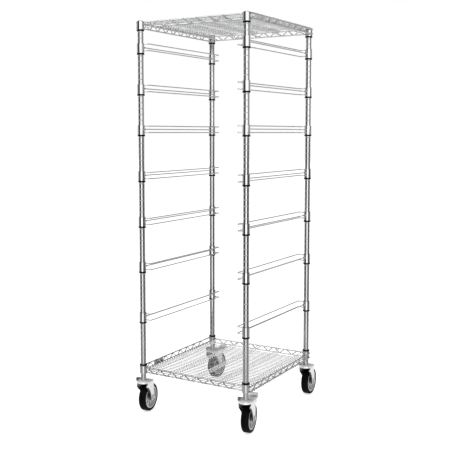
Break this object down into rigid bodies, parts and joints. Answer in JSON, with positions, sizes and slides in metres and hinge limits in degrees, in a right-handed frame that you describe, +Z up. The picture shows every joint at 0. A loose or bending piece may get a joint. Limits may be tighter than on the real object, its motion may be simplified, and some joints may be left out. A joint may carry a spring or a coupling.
{
  "type": "sheet pan rack",
  "caption": "Tall mobile wire rack on swivel casters with pairs of tray slides between a top and an upturned bottom wire shelf, for sheet pans.",
  "frame": {"origin": "on the floor at the middle of the whole footprint; the middle of the four posts is 1.5 mm to +X and 34 mm to -Y of it", "axes": "+Z up, +X to the right seen from the open front, -Y the open front where pans go in"},
  "size_m": [0.6005, 0.7361, 1.757],
  "materials": {
    "chrome_post": "bright plated tube",
    "chrome_wire": "bright plated wire",
    "cap_plastic": "moulded grey",
    "sleeve_plastic": "moulded black",
    "tyre_rubber": "matt black rubber",
    "wheel_grey": "moulded grey",
    "zinc_steel": "bright zinc plate on pressed steel",
    "bright_steel": "bright steel",
    "plate_metal": "plain satin"
  },
  "bodies": {
    "rack": {"blank_plate": "plate_metal", "bottom_shelf_frame": "chrome_wire", "bottom_shelf_mat": "chrome_wire", "bottom_shelf_ribs": "chrome_wire", "bottom_shelf_sleeves": "sleeve_plastic", "bottom_shelf_trusses": "chrome_wire", "caster_stem_front_left": "zinc_steel", "caster_stem_front_right": "zinc_steel", "caster_stem_rear_left": "zinc_steel", "caster_stem_rear_right": "zinc_steel", "post_caps": "cap_plastic", "post_front_left": "chrome_post", "post_front_right": "chrome_post", "post_rear_left": "chrome_post", "post_rear_right": "chrome_post", "swivel_balls": "bright_steel", "top_shelf_frame": "chrome_wire", "top_shelf_mat": "chrome_wire", "top_shelf_ribs": "chrome_wire", "top_shelf_sleeves": "sleeve_plastic", "top_shelf_trusses": "chrome_wire", "tray_slide_left_1": "chrome_wire", "tray_slide_left_2": "chrome_wire", "tray_slide_left_3": "chrome_wire", "tray_slide_left_4": "chrome_wire", "tray_slide_left_5": "chrome_wire", "tray_slide_left_6": "chrome_wire", "tray_slide_left_7": "chrome_wire", "tray_slide_right_1": "chrome_wire", "tray_slide_right_2": "chrome_wire", "tray_slide_right_3": "chrome_wire", "tray_slide_right_4": "chrome_wire", "tray_slide_right_5": "chrome_wire", "tray_slide_right_6": "chrome_wire", "tray_slide_right_7": "chrome_wire", "tray_slide_sleeves_1": "sleeve_plastic", "tray_slide_sleeves_2": "sleeve_plastic", "tray_slide_sleeves_3": "sleeve_plastic", "tray_slide_sleeves_4": "sleeve_plastic", "tray_slide_sleeves_5": "sleeve_plastic", "tray_slide_sleeves_6": "sleeve_plastic", "tray_slide_sleeves_7": "sleeve_plastic"},
    "pedal_front_right": {"brake_pedal_front_right": "zinc_steel"},
    "pedal_rear_left": {"brake_pedal_rear_left": "zinc_steel"},
    "fork_front_left": {"caster_axle_front_left": "bright_steel", "caster_fork_front_left": "zinc_steel"},
    "fork_front_right": {"caster_axle_front_right": "bright_steel", "caster_fork_front_right": "zinc_steel"},
    "fork_rear_left": {"caster_axle_rear_left": "bright_steel", "caster_fork_rear_left": "zinc_steel"},
    "fork_rear_right": {"caster_axle_rear_right": "bright_steel", "caster_fork_rear_right": "zinc_steel"},
    "wheel_front_left": {"wheel_core_front_left": "wheel_grey", "wheel_tyre_front_left": "tyre_rubber"},
    "wheel_front_right": {"wheel_core_front_right": "wheel_grey", "wheel_tyre_front_right": "tyre_rubber"},
    "wheel_rear_left": {"wheel_core_rear_left": "wheel_grey", "wheel_tyre_rear_left": "tyre_rubber"},
    "wheel_rear_right": {"wheel_core_rear_right": "wheel_grey", "wheel_tyre_rear_right": "tyre_rubber"}
  },
  "joints": [
    {"name": "swivel_front_left", "type": "hinge", "parent": "rack", "child": "fork_front_left", "pos_m": [-0.2618, -0.337, 0.14], "axis": [0, 0, 1], "continuous": true},
    {"name": "wheel_spin_front_left", "type": "hinge", "parent": "fork_front_left", "child": "wheel_front_left", "pos_m": [-0.26692, -0.29531, 0.0635], "axis": [0.9925, 0.1219, 0], "continuous": true},
    {"name": "swivel_front_right", "type": "hinge", "parent": "rack", "child": "fork_front_right", "pos_m": [0.2692, -0.337, 0.14], "axis": [0, 0, 1], "continuous": true},
    {"name": "wheel_spin_front_right", "type": "hinge", "parent": "fork_front_right", "child": "wheel_front_right", "pos_m": [0.26191, -0.29564, 0.0635], "axis": [0.9848, 0.1736, 0], "continuous": true},
    {"name": "brake_pedal_front_right", "type": "hinge", "parent": "fork_front_right", "child": "pedal_front_right", "pos_m": [0.26087, -0.28973, 0.136], "axis": [-0.9848, -0.1736, 0], "range_deg": [0, 14]},
    {"name": "swivel_rear_left", "type": "hinge", "parent": "rack", "child": "fork_rear_left", "pos_m": [-0.2618, 0.257, 0.14], "axis": [0, 0, 1], "continuous": true},
    {"name": "wheel_spin_rear_left", "type": "hinge", "parent": "fork_rear_left", "child": "wheel_rear_left", "pos_m": [-0.26033, 0.29897, 0.0635], "axis": [0.9994, -0.0349, 0], "continuous": true},
    {"name": "brake_pedal_rear_left", "type": "hinge", "parent": "fork_rear_left", "child": "pedal_rear_left", "pos_m": [-0.26012, 0.30497, 0.136], "axis": [-0.9994, 0.0349, 0], "range_deg": [0, 14]},
    {"name": "swivel_rear_right", "type": "hinge", "parent": "rack", "child": "fork_rear_right", "pos_m": [0.2692, 0.257, 0.14], "axis": [0, 0, 1], "continuous": true},
    {"name": "wheel_spin_rear_right", "type": "hinge", "parent": "fork_rear_right", "child": "wheel_rear_right", "pos_m": [0.26627, 0.2989, 0.0635], "axis": [0.9976, 0.0698, 0], "continuous": true}
  ]
}
